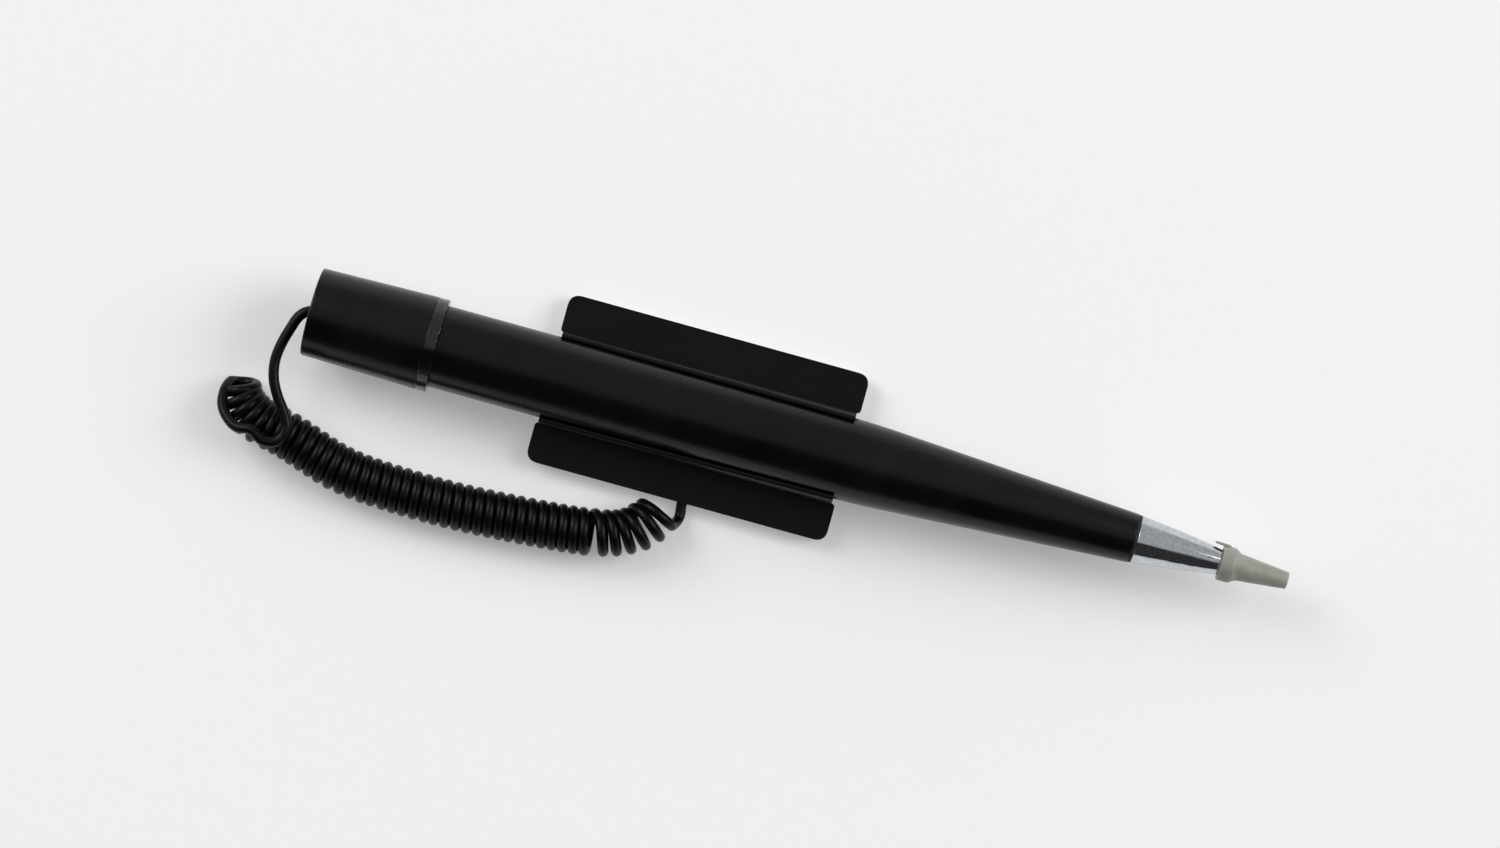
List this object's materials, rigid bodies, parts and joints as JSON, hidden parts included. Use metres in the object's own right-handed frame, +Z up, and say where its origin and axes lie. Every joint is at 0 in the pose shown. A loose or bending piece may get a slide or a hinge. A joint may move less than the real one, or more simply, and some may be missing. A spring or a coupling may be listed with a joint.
{
  "type": "counterfeit detector pen",
  "caption": "Tethered marker pen for checking banknotes, in a winged stick-down holder, with a curly cord from its cap to the holder and a sealing cap over the nib.",
  "frame": {"origin": "middle of the holder's underside, on the surface that it stands on", "axes": "+X along the pen from cap to nib, +Y towards the wing away from the cord, +Z up out of the surface"},
  "size_m": [0.1719, 0.0417, 0.0167],
  "materials": {
    "gloss_black": "polished black moulded plastic",
    "moulded_black": "satin black moulded plastic",
    "clear_plastic": "clear moulded plastic",
    "natural_plastic": "uncoloured moulded plastic",
    "ink_fibre": "ink-soaked bonded fibre",
    "nib_felt": "pressed fibre nib",
    "black_rubber": "matt black rubber",
    "chrome_plate": "bright chrome plate",
    "milky_plastic": "soft translucent off-white plastic",
    "steel": "plain steel",
    "foam": "white closed-cell foam",
    "liner_paper": "waxed release paper",
    "cord_plastic": "satin black cord jacket"
  },
  "bodies": {
    "holder": {"holder": "moulded_black", "foam_pad": "foam", "release_liner": "liner_paper", "holder_ferrule": "steel", "cord_coil": "cord_plastic", "cord_tail": "cord_plastic"},
    "pen": {"end_cap": "gloss_black", "clear_collar": "clear_plastic", "barrel": "gloss_black", "barrel_plug": "natural_plastic", "cartridge_tube": "natural_plastic", "cartridge_plug": "natural_plastic", "ink_reservoir": "ink_fibre", "nib_holder": "natural_plastic", "nib": "nib_felt", "cap_washer": "steel", "cap_ferrule": "steel", "cord_lead": "cord_plastic"},
    "gasket": {"cone_gasket": "black_rubber"},
    "cone": {"nose_cone": "chrome_plate"},
    "tip_cap": {"tip_cap": "milky_plastic"}
  },
  "joints": [
    {"name": "pen_pull", "type": "slide", "parent": "holder", "child": "pen", "axis": [-1, 0, 0], "range_m": [0, 0.125]},
    {"name": "cone_travel", "type": "slide", "parent": "pen", "child": "gasket", "axis": [1, 0, 0], "range_m": [0, 0.0045]},
    {"name": "cone_turn", "type": "hinge", "parent": "gasket", "child": "cone", "pos_m": [0.073, 0, 0.00918], "axis": [1, 0, 0], "range_deg": [0, 2160]},
    {"name": "tip_cap_pull", "type": "slide", "parent": "cone", "child": "tip_cap", "axis": [1, 0, 0], "range_m": [0, 0.015]}
  ],
  "couplings": [
    {"joint": "cone_turn", "follows": "cone_travel", "rad_per_m": 8377.6}
  ]
}
